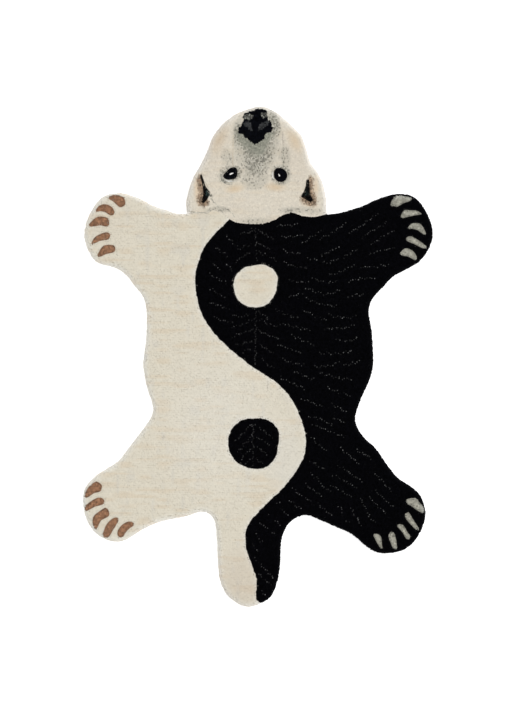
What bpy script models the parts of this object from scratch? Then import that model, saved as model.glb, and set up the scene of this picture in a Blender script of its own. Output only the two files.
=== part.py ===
"""A child's rug in the shape of a bear skin: a flat tufted pelt with a tufted head sewn on.

Metres, +Z up. The rug lies on the plane z = 0 with its nose towards +Y, and the origin is on
the floor at the middle of its outline.
"""
from collections import namedtuple
import math

import bmesh
import bpy
import numpy as np
from mathutils import Vector
from mathutils.geometry import delaunay_2d_cdt, interpolate_bezier

COLLECTION = "bear_rug"
MM = 0.001

# Driving dimensions
PELT_HEIGHT = 15 * MM       # backing and pile together
HEAD_HEIGHT = 18 * MM       # the head's pile is left a little longer
SEAM_GAP = 0.3 * MM         # between the two pieces along the neck, measured along Y
OUTLINE_STEP = 11 * MM      # length of one straight facet of an outline
TOP_SPACING = 28 * MM       # between the points that carry the lie of the pile's top
TOP_SWELL = 0.5 * MM        # how far that top wanders up and down
SWELL_LENGTH = 170 * MM     # from one rise of the top to the next, across the rug
SWELL_STRETCH = 1.25        # how much longer the swell is along the rug
SWELL_START = 0.6           # where the swell begins, in radians

# Section through the edge: how far in from the outline, and at what share of the height.
# The pile fans out over the turned-under backing and then rolls over into the top. Along the
# neck the backing of both pieces is sewn edge to edge, so there the wall stands straight up to
# the widest row.
EdgeRow = namedtuple("EdgeRow", "inset share")
EDGE_WALL = (
    EdgeRow(2.2 * MM, 0.00),
    EdgeRow(0.5 * MM, 0.18),
    EdgeRow(0.0 * MM, 0.42),
    EdgeRow(1.0 * MM, 0.70),
    EdgeRow(3.5 * MM, 0.88),
)
EDGE_ROLL = (
    EdgeRow(7.5 * MM, 0.97),
    EdgeRow(12.0 * MM, 1.00),
)
WIDEST_SHARE = 0.42
MITRE_LIMIT = 0.5           # least cosine used where an edge turns sharply
ROLL_TOLERANCE = 0.97       # share of its inset that a rolled point must really keep
FIELD_MARGIN = 0.4          # clear strip inside the roll, as a share of TOP_SPACING
POINT_MERGE = 1e-7          # filling tolerance
FILL_INSIDE = 1             # fill only what lies inside the rim

# Outlines in millimetres. "out" is the distance from the centre line and "up" the distance
# towards the nose, so the two sides can be compared row by row: the skin is laid out by eye
# and its halves differ a little.
Pair = namedtuple("Pair", "landmark left_out left_up right_out right_up")
PELT_SIDES = (
    Pair("collar", 146, 258, 142, 258),
    Pair("shoulder", 164, 264, 155, 261),
    Pair("arm top", 193, 274, 187, 271),
    Pair("wrist top", 215, 286, 216, 284),
    Pair("paw top", 252, 295, 252, 293),
    Pair("paw top corner", 283, 285, 283, 286),
    Pair("paw upper side", 306, 251, 308, 251),
    Pair("paw side", 313, 219, 315, 219),
    Pair("paw lower side", 306, 191, 306, 190),
    Pair("paw lower corner", 291, 170, 289, 169),
    Pair("paw underside", 252, 157, 266, 156),
    Pair("forearm", 234, 142, 243, 143),
    Pair("elbow", 222, 126, 224, 123),
    Pair("underarm", 207, 107, 206, 103),
    Pair("chest", 201, 80, 200, 82),
    Pair("flank", 202, 30, 205, 46),
    Pair("belly", 207, -13, 208, -11),
    Pair("loin", 204, -37, 204, -34),
    Pair("waist", 200, -57, 195, -56),
    Pair("waist notch", 189, -93, 179, -95),
    Pair("hip", 194, -111, 176, -118),
    Pair("thigh top", 209, -133, 189, -143),
    Pair("thigh", 234, -165, 212, -165),
    Pair("knee", 251, -187, 231, -192),
    Pair("shin", 267, -198, 251, -217),
    Pair("foot top", 292, -214, 277, -235),
    Pair("foot upper corner", 312, -238, 293, -251),
    Pair("foot side", 315, -266, 302, -284),
    Pair("foot lower side", 306, -300, 290, -321),
    Pair("foot lower corner", 285, -324, 267, -346),
    Pair("sole", 257, -334, 229, -355),
    Pair("heel", 234, -329, 203, -348),
    Pair("ankle", 211, -314, 168, -320),
    Pair("calf", 179, -299, 144, -309),
    Pair("inner leg", 125, -287, 112, -295),
    Pair("crotch", 100, -280, 84, -286),
    Pair("tail root", 81, -291, 56, -301),
    Pair("tail top", 75, -325, 43, -330),
    Pair("tail middle", 72, -375, 40, -378),
    Pair("tail lower", 68, -406, 33, -413),
    Pair("tail corner", 52, -434, 19, -437),
)
TAIL_TIP = (-18, -451)

HEAD_SIDES = (
    Pair("ear side", 130, 276, 123, 284),
    Pair("ear upper side", 124, 304, 117, 312),
    Pair("ear top", 115, 327, 107, 333),
    Pair("ear root", 105, 343, 96, 347),
    Pair("cheek", 90, 375, 87, 375),
    Pair("muzzle root", 81, 397, 79, 397),
    Pair("muzzle side", 65, 418, 66, 411),
    Pair("lip", 52, 429, 46, 430),
    Pair("mouth corner", 34, 440, 31, 441),
)
NOSE_TIP = (6, 451)

# The neck line, from the left ear's corner to the right ear's: both pieces share it
NECK_LEFT = (-128, 257)
NECK_RIGHT = (124, 256)
SeamPoint = namedtuple("SeamPoint", "landmark across up")
NECK_SEAM = (
    SeamPoint("left ear base", -110, 255.5),
    SeamPoint("left ear inner corner", -91, 257),
    SeamPoint("left notch", -80, 263),
    SeamPoint("left temple", -68, 258),
    SeamPoint("crown left", -45, 243.5),
    SeamPoint("crown middle left", -27, 239),
    SeamPoint("crown middle right", 5, 238.5),
    SeamPoint("crown right", 26, 244),
    SeamPoint("right temple", 47, 255),
    SeamPoint("right notch", 61, 258.5),
    SeamPoint("right ear inner corner", 78, 253),
    SeamPoint("right ear base", 102, 251),
)

SHARP_DEGREES = 45          # the underside's rim stays a crisp line

# Yarn colours, linear RGB
CREAM_WOOL = (0.66, 0.61, 0.52, 1.0)
HEAD_WOOL = (0.64, 0.59, 0.49, 1.0)


def clear_scene():
    for existing in list(bpy.data.objects):
        bpy.data.objects.remove(existing, do_unlink=True)


def to_metres(across, up, shift=0.0):
    return Vector((across * MM, up * MM + shift, 0.0))


def smooth_run(points):
    """Short facets along a smooth curve through the points, without the last point."""
    tangents = []
    for index, point in enumerate(points):
        before = points[max(index - 1, 0)]
        after = points[min(index + 1, len(points) - 1)]
        tangents.append((after - before).normalized())
    run = []
    for index in range(len(points) - 1):
        start = points[index]
        end = points[index + 1]
        reach = (end - start).length / 3.0
        steps = max(1, round((end - start).length / OUTLINE_STEP))
        curve = interpolate_bezier(
            start,
            start + tangents[index] * reach,
            end - tangents[index + 1] * reach,
            end,
            steps + 1,
        )
        run.extend(point.to_2d() for point in curve[:-1])
    return run


def left_points(pairs):
    return [to_metres(-pair.left_out, pair.left_up) for pair in pairs]


def right_points(pairs):
    return [to_metres(pair.right_out, pair.right_up) for pair in pairs]


def seam_points(shift):
    ends = [to_metres(*NECK_LEFT, shift), to_metres(*NECK_RIGHT, shift)]
    middle = [to_metres(point.across, point.up, shift) for point in NECK_SEAM]
    return [ends[0], *middle, ends[1]]


def pelt_outline():
    """Down the left side, round the tail, up the right, back along the neck, and what is sewn."""
    seam = seam_points(-SEAM_GAP / 2)
    round_the_body = [
        seam[0],
        *left_points(PELT_SIDES),
        to_metres(*TAIL_TIP),
        *reversed(right_points(PELT_SIDES)),
        seam[-1],
    ]
    body_run = smooth_run(round_the_body)
    neck_run = smooth_run(seam[::-1])
    sewn = [True] + [False] * (len(body_run) - 1) + [True] * len(neck_run)
    return body_run + neck_run, sewn


def head_outline():
    """Along the neck to the right ear, over the nose, down the left side, and what is sewn."""
    seam = seam_points(SEAM_GAP / 2)
    round_the_face = [
        seam[-1],
        *right_points(HEAD_SIDES),
        to_metres(*NOSE_TIP),
        *reversed(left_points(HEAD_SIDES)),
        seam[0],
    ]
    neck_run = smooth_run(seam)
    face_run = smooth_run(round_the_face)
    sewn = [True] * (len(neck_run) + 1) + [False] * (len(face_run) - 1)
    return neck_run + face_run, sewn


def inset_loop(outline, inset):
    """The outline moved inwards, with its corners mitred."""
    moved = []
    for index, point in enumerate(outline):
        into = (point - outline[index - 1]).normalized()
        out_of = (outline[(index + 1) % len(outline)] - point).normalized()
        into_normal = Vector((-into.y, into.x))
        out_normal = Vector((-out_of.y, out_of.x))
        bisector = (into_normal + out_normal).normalized()
        reach = inset / max(bisector.dot(into_normal), MITRE_LIMIT)
        moved.append(point + bisector * reach)
    return moved


def distance_to(outline, point):
    """Shortest distance from a point to the closed outline."""
    starts = np.array(outline)
    along = np.roll(starts, -1, axis=0) - starts
    offset = np.array(point) - starts
    share = np.clip((offset * along).sum(axis=1) / (along ** 2).sum(axis=1), 0.0, 1.0)
    return np.hypot(*(offset - along * share[:, None]).T).min()


def top_height(point, height):
    """The lie of the pile: a slow, shallow swell in both directions."""
    turn = 2.0 * math.pi / SWELL_LENGTH
    across = math.sin(point.x * turn + SWELL_START)
    along = math.sin(point.y * turn / SWELL_STRETCH)
    return height + TOP_SWELL * across * along


def is_inside(outline, point):
    """Even-odd test of a point against the closed outline."""
    inside = False
    for index, corner in enumerate(outline):
        before = outline[index - 1]
        if (corner.y > point.y) != (before.y > point.y):
            share = (point.y - corner.y) / (before.y - corner.y)
            if point.x < corner.x + share * (before.x - corner.x):
                inside = not inside
    return inside


def roll_points(outline, height):
    """Points of the rolled-over edge, left out where another stretch of edge is nearer."""
    for row in EDGE_ROLL:
        for point in inset_loop(outline, row.inset):
            if distance_to(outline, point) > row.inset * ROLL_TOLERANCE:
                yield point, row.share * height


def field_points(outline, height):
    """Staggered points over the middle, clear of the rolled edge."""
    xs = [point.x for point in outline]
    ys = [point.y for point in outline]
    clear = EDGE_ROLL[-1].inset + TOP_SPACING * FIELD_MARGIN
    row_pitch = TOP_SPACING * math.sqrt(3.0) / 2.0
    for row in range(int((max(ys) - min(ys)) / row_pitch) + 1):
        for column in range(int((max(xs) - min(xs)) / TOP_SPACING) + 1):
            stagger = 0.5 * (row % 2)
            point = Vector((
                min(xs) + (column + stagger) * TOP_SPACING,
                min(ys) + row * row_pitch,
            ))
            if is_inside(outline, point) and distance_to(outline, point) > clear:
                yield point, top_height(point, height)


def edge_ring(outline, sewn, row):
    """One row of the edge's section, left upright where it is sewn to its neighbour."""
    ring = inset_loop(outline, row.inset)
    if row.share < WIDEST_SHARE:
        ring = [own if held else moved for own, held, moved in zip(outline, sewn, ring)]
    return ring


def pile_slab(name, outline, sewn, height, material):
    """A tufted slab: flat underside, edge rings by the section table, filled top."""
    mesh_work = bmesh.new()
    rings = []
    for row in EDGE_WALL:
        loop = edge_ring(outline, sewn, row)
        rings.append([mesh_work.verts.new((*point, row.share * height)) for point in loop])
    mesh_work.faces.new(reversed(rings[0]))
    for lower, upper in zip(rings, rings[1:]):
        for index in range(len(lower)):
            after = (index + 1) % len(lower)
            mesh_work.faces.new((lower[index], lower[after], upper[after], upper[index]))

    rim = rings[-1]
    inner = [*roll_points(outline, height), *field_points(outline, height)]
    flat_points = [vert.co.to_2d() for vert in rim] + [point for point, _ in inner]
    rim_edges = [(index, (index + 1) % len(rim)) for index in range(len(rim))]
    filled = delaunay_2d_cdt(flat_points, rim_edges, [], FILL_INSIDE, POINT_MERGE)
    top_verts = rim + [mesh_work.verts.new((*point, level)) for point, level in inner]
    for triangle in filled[2]:
        mesh_work.faces.new([top_verts[filled[3][corner][0]] for corner in triangle])
    bmesh.ops.recalc_face_normals(mesh_work, faces=mesh_work.faces)

    mesh = bpy.data.meshes.new(name)
    mesh_work.to_mesh(mesh)
    mesh_work.free()
    mesh.materials.append(material)
    mesh.shade_smooth()
    mesh.set_sharp_from_angle(angle=math.radians(SHARP_DEGREES))
    slab = bpy.data.objects.new(name, mesh)
    bpy.data.collections[COLLECTION].objects.link(slab)
    return slab


def wool(name, colour):
    material = bpy.data.materials.new(name)
    material.use_nodes = True
    shader = material.node_tree.nodes["Principled BSDF"]
    shader.inputs["Base Color"].default_value = colour
    shader.inputs["Roughness"].default_value = 0.95
    shader.inputs["Metallic"].default_value = 0.0
    return material


def main():
    clear_scene()
    collection = bpy.data.collections.new(COLLECTION)
    bpy.context.scene.collection.children.link(collection)
    pile_slab("pelt", *pelt_outline(), PELT_HEIGHT, wool("pelt_wool", CREAM_WOOL))
    pile_slab("head", *head_outline(), HEAD_HEIGHT, wool("head_wool", HEAD_WOOL))


main()
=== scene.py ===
"""A child's rug in the shape of a bear skin, laid tuft by tuft in cut woollen pile.

The tables are in millimetres on the floor plane: "across" runs to the rug's right and "up"
towards its nose, from the middle of the rug, and an outline is a row of (across, up).
Meshes are made in metres, in the frame's space.
"""
from collections import namedtuple
import math

import bmesh
import bpy
import numpy as np
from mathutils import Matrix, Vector
from mathutils.geometry import delaunay_2d_cdt
from mathutils.kdtree import KDTree


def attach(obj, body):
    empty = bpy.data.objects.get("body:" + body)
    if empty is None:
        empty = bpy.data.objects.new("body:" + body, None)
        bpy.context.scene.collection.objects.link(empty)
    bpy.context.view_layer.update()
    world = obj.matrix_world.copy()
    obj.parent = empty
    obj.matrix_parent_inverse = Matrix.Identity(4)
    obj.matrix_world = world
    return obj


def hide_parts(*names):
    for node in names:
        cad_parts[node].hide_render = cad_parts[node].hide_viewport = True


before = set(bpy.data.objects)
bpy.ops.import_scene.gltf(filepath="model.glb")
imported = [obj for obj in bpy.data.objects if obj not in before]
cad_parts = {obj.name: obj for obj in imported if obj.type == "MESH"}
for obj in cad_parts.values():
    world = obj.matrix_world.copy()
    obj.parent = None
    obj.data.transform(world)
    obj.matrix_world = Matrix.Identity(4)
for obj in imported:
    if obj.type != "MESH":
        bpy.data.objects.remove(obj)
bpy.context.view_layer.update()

MM = 0.001
OUTLINE_STEP = 3.5          # from point to point round the outlines
DRAWING_STEP = 1.4          # and along the lines drawn in the pile
WELD = 1e-4                 # mm, within which points on the foot of the pile are one
STUB = 1e-3                 # mm, a single place stands as a line this long
TINY = 1e-12
CHUNK = 2048                # points taken at a time
NOISE_CELLS = 64
NOISE_SHIFT = 1000.0        # keeps every place on the noise's positive side

# ---- heights and edge section
PELT_HEIGHT = 15.0
HEAD_HEIGHT = 18.0
HEIGHTS = {"pelt": PELT_HEIGHT, "head": HEAD_HEIGHT}
WIDEST_SHARE = 0.42         # the solids are widest at this share of their height
LEVEL_TOLERANCE = 0.05      # mm, when the widest row of a solid is looked up
SEWN_WITHIN = 1.5           # an outline this close to its neighbour's is sewn to it
TOP_SWELL = 0.5
SWELL_LENGTH = 170.0
SWELL_STRETCH = 1.25
SWELL_START = 0.6
NECK_RISE = 42.0            # how far from the neck seam the thicker head is at its full height

# How high the tips of the pile stand, by their distance in from the outline
ProfileRow = namedtuple("ProfileRow", "inset share")
PILE_PROFILE = (
    ProfileRow(0.0, 0.50), ProfileRow(1.0, 0.70), ProfileRow(3.5, 0.88),
    ProfileRow(7.5, 0.97), ProfileRow(12.0, 1.00),
)
# The dense foot of the pile and its backing, which the tufts grow from
SLAB_WALL = (
    ProfileRow(3.2, 0.00), ProfileRow(2.4, 0.12), ProfileRow(2.2, 0.38), ProfileRow(3.2, 0.64),
)
SLAB_ROLL = (
    ProfileRow(3.2, 0.64), ProfileRow(5.2, 0.81), ProfileRow(8.5, 0.90), ProfileRow(12.0, 0.92),
)
SLAB_SPACING = 5.0          # from point to point on the foot of the pile
SLAB_ROWS = 0.87            # and from row to row, as a share of that
SLAB_THIN = 0.6
SLAB_CLEAR = 1.6
SEWN_GAP = 0.12
# painted shade on the foot of the pile, which shows in the gaps between the tufts
FOOT_PAINTED_SHADE = 0.93

# Where the tips of the tufts that fan out over the edge lie, from the floor up, and their run
# outwards for each unit of rise
EdgeTufts = namedtuple("EdgeTufts", "inset share lean")
FREE_EDGE = (
    EdgeTufts(1.8, 0.10, 3.2), EdgeTufts(0.9, 0.30, 2.3), EdgeTufts(0.5, 0.50, 1.6),
    EdgeTufts(1.7, 0.69, 1.1), EdgeTufts(3.3, 0.83, 0.7), EdgeTufts(5.2, 0.92, 0.45),
)
SEWN_EDGE = (EdgeTufts(1.0, 0.985, 0.0),)
EDGE_SPACING = 0.90         # of the rows down the edge, as a share of the spacing on top
EDGE_PITCH = 1.05           # the same along a row
EDGE_DROP = 0.9             # share of its inset that an edge row must really keep

# ---- tufts
TUFT_SIDES = 5
# pitch: along a row; row: from row to row; radius: of the cut end; dome: how far it bulges
PileKind = namedtuple("PileKind", "pitch row radius dome length border")
PELT_PILE = PileKind(3.0, 3.2, 2.20, 0.45, 5.0, 1.40)
HEAD_PILE = PileKind(2.3, 2.4, 1.68, 0.35, 5.0, 1.10)
BORDER_RADIUS = 1.15        # of a tuft along a colour change, in its distance to the line
LEAST_RADIUS = 0.5          # but at least this share of its full radius
BORDER_THIN = 0.7           # nearest that two tufts along a colour change come, in pitches
ACCENT_RADIUS = 0.9         # of a tuft in one of the face's single rows, in full radii
ROOT_SHARE = 0.72           # a tuft's radius where it leaves the foot
FLOOR_CLEAR = 0.3
ROOT_PAINTED_SHADE = 0.90           # painted shade: how much of its colour is left at the root, deep in the pile
# painted shade, a touch darker, on each tuft's shoulder ring
RIM_SHADE = 0.99
HOLE_STEP = 1.0             # of the places tried for an extra tuft
HOLE_REACH = 0.74           # a place this many pitches from every tuft gets one of its own
JITTER = 0.10               # of the pitch
ROW_SWAY = 1.6
SWAY_LENGTH = 60.0
SWAY_WIDTH = 30.0
RANDOM_LEAN = 0.06
RANDOM_HEIGHT = 0.10
RADIUS_SPREAD = 0.06
EDGE_UNEVEN = 0.50          # how much the fanned rows wander in and out
EDGE_LEAN_SPREAD = 0.18
BORDER_CARVE = 0.6          # the pile is clipped this much lower along a change of colour
CARVE_WIDTH = 2.2
FIELD_KEEP = 0.62           # nearest that a filling tuft comes to a placed row, in pitches
BORDER_KEEP = 0.85          # share of that along a change of colour
OUTWARD_LEAN = 0.22
OUTWARD_FADE = 15.0

# Seeds of the random draws
PELT_SEED = 7
HEAD_SEED = 19
COAT_STREAK_SEED = 11
FACE_STREAK_SEED = 31
WANDER_SEED = 3
SWAY_SEED = 5

# ---- the coat's drawing
# Left border of the black half, from the neck down to the tip of the tail
DIVIDE = (
    (-48, 250), (-60, 237), (-77, 220), (-94, 199), (-104, 177), (-110, 156), (-112, 134), (-110, 112),
    (-105, 90), (-96, 69), (-83, 49), (-67, 30), (-48, 12), (-28, -4), (-7, -20), (14, -33), (34, -47),
    (52, -64), (65, -82), (75, -104), (84, -130), (87, -152), (84, -178), (77, -193), (65, -212),
    (48, -234), (27, -255), (5, -276), (-10, -293), (-19, -309), (-22, -326), (-20, -346), (-15, -361),
    (-8, -381), (-2, -399), (-2, -417), (-3, -432), (1, -441), (8, -444), (18, -442),
)
FAR_RIGHT = ((500, -442), (500, 300), (-48, 300))
# The two dots: radius at each bearing, in degrees anticlockwise from the rug's right
Dot = namedtuple("Dot", "across up radii")
DOT_STEP = 30
WHITE_DOT = Dot(
    -4.9, 126.0, (39.0, 44.0, 43.0, 38.0, 38.5, 39.5, 39.0, 38.5, 38.5, 37.5, 38.5, 37.5)
)
BLACK_DOT = Dot(
    -8.1, -156.6, (44.5, 50.5, 49.0, 45.0, 47.0, 46.5, 46.0, 45.0, 44.0, 45.0, 48.0, 46.0)
)

# The outlines of the claws, front paw first
LEFT_CLAWS = (
    ((-269, 285), (-263, 289.5), (-256, 290.5), (-248, 288.5), (-241.5, 286), (-239, 279.5),
     (-238.5, 274), (-242, 270), (-248.5, 268.5), (-254, 272.5), (-261, 279)),
    ((-291.5, 264), (-286.5, 269.5), (-279.5, 273.5), (-271, 273), (-264.5, 270), (-260, 265),
     (-258, 259), (-260, 255), (-264.5, 253.5), (-269.5, 256), (-275.5, 259.5), (-283.5, 261),
     (-291, 260.5)),
    ((-304, 235), (-300, 242), (-295, 247), (-288, 251), (-280, 251.5), (-269, 248), (-267.5, 242),
     (-269.5, 234), (-284, 235.5), (-294, 234)),
    ((-299, 202), (-297, 209), (-292.5, 215), (-286, 219), (-275, 223), (-267.5, 222), (-266, 216.5),
     (-269.5, 210.5), (-283, 208), (-291, 204.5)),
    ((-288.5, 180), (-285.5, 189), (-281, 196), (-275, 200), (-261.5, 200.5), (-257, 197), (-257, 190),
     (-260.5, 187), (-274.5, 183.5), (-281.5, 180)),
    ((-311.5, -251), (-310, -243), (-303.5, -233.5), (-292, -225), (-286, -226.5), (-281, -231),
     (-281, -237), (-283.5, -242.5), (-294.5, -246), (-308.5, -254)),
    ((-312.5, -274), (-307.5, -266), (-294.5, -256.5), (-286, -253.5), (-279, -255.5), (-276, -261),
     (-279.5, -266), (-292.5, -270), (-309, -277.5)),
    ((-297.5, -294), (-295, -286.5), (-289, -281), (-279, -274), (-274.5, -272), (-270, -274.5),
     (-267.5, -281), (-268.5, -287), (-281.5, -294.5), (-285.5, -301), (-289, -308), (-292.5, -310),
     (-296, -305.5)),
    ((-279.5, -321), (-277.5, -314), (-272.5, -302), (-262.5, -292), (-255, -289), (-250.5, -292),
     (-255.5, -304), (-260.5, -312), (-265.5, -321), (-269.5, -325), (-275, -326)),
    ((-253, -318), (-251, -310.5), (-243, -301.5), (-231, -296.5), (-223, -301.5), (-232.5, -310.5),
     (-238.5, -317.5), (-243.5, -324.5), (-250.5, -324)),
)
RIGHT_CLAWS = (
    ((239, 271), (240, 278), (243.5, 284), (248.5, 288.5), (256, 289.5), (270, 287), (276, 284.5),
     (274, 280.5), (260.5, 275.5), (251, 270), (244.5, 270.5)),
    ((257, 251.5), (259.5, 258), (263.5, 262.5), (277, 262.5), (284, 262), (290, 259.5), (293.5, 256),
     (288, 255), (274, 252.5), (264, 250), (258.5, 249)),
    ((270.5, 230), (272.5, 235), (278, 239), (285.5, 239.5), (291.5, 238), (296, 233), (299.5, 226.5),
     (301.5, 219.5), (298.5, 219.5), (287.5, 227), (277.5, 230)),
    ((266.5, 211), (269.5, 215), (275.5, 215.5), (288.5, 208.5), (298.5, 201), (302.5, 196),
     (296.5, 195), (281, 202.5), (269, 207.5)),
    ((255.5, 184.5), (258, 189), (262.5, 193), (267, 194.5), (277, 190), (281.5, 185.5), (284.5, 180),
     (284.5, 174), (278.5, 175.5), (269.5, 180), (261.5, 181.5)),
    ((266.5, -259), (269, -256.5), (281, -254.5), (286, -257), (290, -262.5), (297.5, -271),
     (299, -278), (296.5, -281), (286, -276), (275, -268), (269, -264.5)),
    ((264, -285), (266.5, -282), (270.5, -280.5), (277.5, -291.5), (286.5, -305), (289.5, -310.5),
     (288, -313.5), (278, -305), (267.5, -293)),
    ((250, -304), (253, -302), (257.5, -302), (262, -305), (269, -317), (273, -322), (272.5, -326),
     (270, -329), (266, -326), (259.5, -315.5), (254.5, -309.5)),
    ((235, -323), (236, -319), (240, -315), (244.5, -318), (248, -330), (249, -338), (249, -346),
     (243.5, -344.5), (237.5, -331.5)),
    ((207.5, -320), (212, -319), (217, -320.5), (221, -325), (222.5, -339), (223.5, -346),
     (221.5, -346), (214.5, -335), (210.5, -327)),
)
PALE_SPREAD = 0.35          # the pale claws' yarn leans out over the black round them
CLAW_RIM = 2.2              # the claw's wool is darker this near to its border
CLAW_RIM_SHADE = 0.90
BORDER_PAINTED_LIGHT = 0.75          # painted light: the cream is lightened where it meets the black, by this share, as the clipped border catches more light
BORDER_PAINTED_LIGHT_WIDTH = 7.0

# ---- dashes on the black
# Both ends of every dash and, where it bows, how far its middle rises above the straight way
Dash = namedtuple("Dash", "across up end_across end_up rise", defaults=(0,))
DASHES = (
    (31, 234, 72, 238), (41, 215, 80, 219, -2), (44, 192, 79, 186, -2), (46, 170, 90, 160, -4),
    (54, 138, 92, 136, -3), (-60, 218, -36, 197, 1), (-78, 198, -55, 180), (-84, 168, -66, 156),
    (-57, 168, -45, 153), (-88, 149, -54, 131), (-88, 121, -57, 105, 1), (-90, 98, -50, 84, 1),
    (-80, 73, -44, 60, -3), (30, 87, 75, 70, -4), (54, 107, 81, 115, -1), (84, 123, 110, 114, 1),
    (112, 112, 149, 118, -2), (85, 105, 143, 90, -4), (81, 83, 124, 64), (125, 74, 178, 71, -2),
    (44, 60, 94, 49, -2), (118, 50, 174, 56, -3), (59, 40, 101, 20, -1), (139, 32, 181, 34, -5),
    (35, 22, 79, 6), (108, 6, 171, 9, -2), (42, -4, 88, -15, -3), (101, -18, 147, -9, -4),
    (152, -16, 184, -7, -2), (160, 107, 192, 111, 1), (81, 203, 114, 227, 1), (110, 211, 158, 241, -3),
    (162, 222, 215, 258, -3), (185, 213, 233, 242, 1), (201, 200, 245, 229), (198, 183, 248, 195, 2),
    (111, 180, 147, 196, 1), (87, 178, 109, 174, -1), (115, 169, 146, 176, -3),
    (151, 177, 180, 194, -1), (128, 146, 175, 164, -1), (182, 160, 236, 164, -1), (125, 132, 144, 138),
    (96, 142, 119, 134, -1), (161, 135, 210, 142, 1), (38, -37, 85, -58), (64, -26, 102, -41, -1),
    (110, -30, 170, -41, -2), (124, -55, 167, -70, -2), (75, -74, 115, -91, 1), (130, -85, 160, -99),
    (89, -106, 136, -124, 2), (133, -109, 156, -118, -1), (97, -122, 155, -145),
    (95, -144, 123, -171, -1), (148, -164, 183, -193), (175, -166, 206, -184), (93, -187, 119, -203),
    (92, -209, 116, -228), (114, -232, 133, -243), (83, -229, 116, -251, -1), (61, -237, 80, -251, -1),
    (84, -253, 96, -261), (105, -263, 134, -288), (56, -257, 78, -275), (42, -275, 55, -286),
    (32, -266, 41, -262), (142, -196, 188, -226, 2), (135, -213, 178, -237, 1),
    (129, -230, 169, -253, 1), (209, -209, 241, -243), (205, -239, 244, -270), (198, -252, 231, -282),
    (183, -254, 194, -276, 1), (195, -280, 210, -300), (166, -270, 185, -306, 1),
    (144, -266, 154, -281), (156, -297, 166, -297), (0, -299, 18, -310, 2), (29, -294, 42, -304),
    (19, -282, 22, -288), (24, -320, 31, -318), (-5, -319, 8, -335), (-12, -337, 2, -352),
    (-7, -361, 28, -399), (0, -390, 9, -397), (12, -401, 24, -411), (4, -419, 15, -435),
)
# Those that fall away from the spine, dimmer, and the spine itself
SPINE_DASHES = (
    (-2, 206, 24, 191), (0, 190, 34, 172), (0, 228, 28, 210), (-10, 224, -36, 220),
    (-14, 188, -41, 170), (-12, 203, -36, 192), (-14, 235, -12, 229), (-16, 228, -14, 221),
    (-47, 75, -14, 75, -3), (-47, 52, -25, 58), (-6, 68, -22, 59, 1), (-47, 33, -6, 50, 1),
    (-40, 21, -8, 30, -2), (-28, 8, -13, 14, 1), (-1, 82, 20, 66, 1), (3, 68, 40, 54, -3),
    (0, 48, 38, 33, -2), (3, 22, 28, 5), (6, -3, 28, -22, -1), (-18, -127, -4, -122, 1),
    (1, -127, 26, -146, 1), (-4, -145, 22, -162, 2), (-3, -160, 18, -178), (-4, -183, 10, -196),
    (-18, -130, -42, -154, 1), (-12, -144, -37, -172), (-12, -166, -31, -184), (-13, -183, -24, -196),
)
SPINE = ((-4, 232, -3, 172), (-4, 82, -5, -15), (-9, -121, -9, -197))
DASH_DOT = 4.1              # from one light tuft of a dash to the next
SPINE_DOT = 3.1
DASH_JITTER = 0.85
DASH_RADIUS = 1.08
DASH_WAVE = 1.2             # how far a dash sways from its line
DASH_WAVE_LENGTH = 15.0
DASH_CLEAR = 5.0            # kept from every change of colour

# ---- the face's drawing
FACE_OUTLINES = {
    "nose": (
        (-28, 432), (-24, 437), (-18.5, 440), (-7.5, 443), (0, 444.5), (9, 445), (16, 442.5),
        (17.5, 438), (17, 427), (22, 421), (27, 412), (23, 405.5), (13, 399), (10.5, 392), (4.5, 386),
        (-5, 380), (-12.5, 385.5), (-19, 390), (-23.5, 393), (-28, 399.5), (-33, 401), (-35, 408),
        (-31, 415), (-27, 421.5), (-26, 425.5),
    ),
    "left_shine": (
        (-26, 419), (-20, 421.5), (-13.5, 420.5), (-11, 412.5), (-9, 404.5), (-12.5, 404.5), (-18, 410),
        (-24.5, 415),
    ),
    "right_shine": (
        (0, 410), (2.5, 416), (9, 420.5), (16, 424), (21, 421.5), (19, 417), (13.5, 413.5), (7, 408),
        (1, 405.5),
    ),
    "under_nose": (
        (-38, 405), (-36, 390), (-27, 378), (-14, 367), (-4, 362), (7, 364), (15, 375), (21, 388),
        (28, 402), (0, 412),
    ),
    "left_eye": (
        (-62.5, 324), (-56, 333), (-50, 338.5), (-42, 340), (-38, 337), (-37, 330), (-39.5, 321),
        (-47, 318.5), (-56, 318),
    ),
    "right_eye": (
        (52.5, 326), (49, 334), (41, 338.5), (31.5, 337), (28.5, 326), (32.5, 317), (41, 313.5),
        (49.5, 317.5),
    ),
    "left_ear": (
        (-104, 326), (-109, 319), (-108, 305), (-106, 294), (-109, 286), (-107, 273), (-99, 269),
        (-90, 271), (-88, 279), (-93, 284), (-97, 290), (-97, 305), (-101, 320),
    ),
    "left_slit": (
        (-103, 327), (-98, 318), (-94, 306), (-89, 299), (-86, 294), (-89.5, 285.5), (-93.5, 279.5),
        (-99, 275.5), (-102, 278.5), (-100, 284), (-98.5, 291), (-99, 301), (-101.5, 315),
    ),
    "right_ear": (
        (94, 325), (99, 319), (98.5, 302), (103.5, 287), (106, 276), (97, 269.5), (88, 273), (79, 278),
        (76, 285), (81, 290), (87, 303), (89, 315),
    ),
    "right_slit": (
        (89.5, 318.5), (92.5, 306), (94, 292), (98.5, 281), (94.5, 277.5), (88, 281), (83, 284),
        (77.5, 288), (82, 296), (85.5, 306),
    ),
}
NEAT_SHAPES = ("left_eye", "right_eye", "left_slit", "right_slit")
UNDER_NOSE_FADE = 9.0       # the yarn thins out over this far from its border
EAR_FADE = 5.0
SOAK_SPREAD = 0.22          # how unevenly it does so
Wander = namedtuple("Wander", "reach length")
HAND = Wander(0.8, 4.6)     # how far, and over what length, a drawn line strays from its course
STITCH = Wander(1.1, 2.4)   # and the yarn on either side of it from the line
SHAGGY = Wander(1.6, 3.4)   # the same round the nose
DIVIDE_SHIFT = -0.9         # the black half spreads a little over the cream

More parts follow.
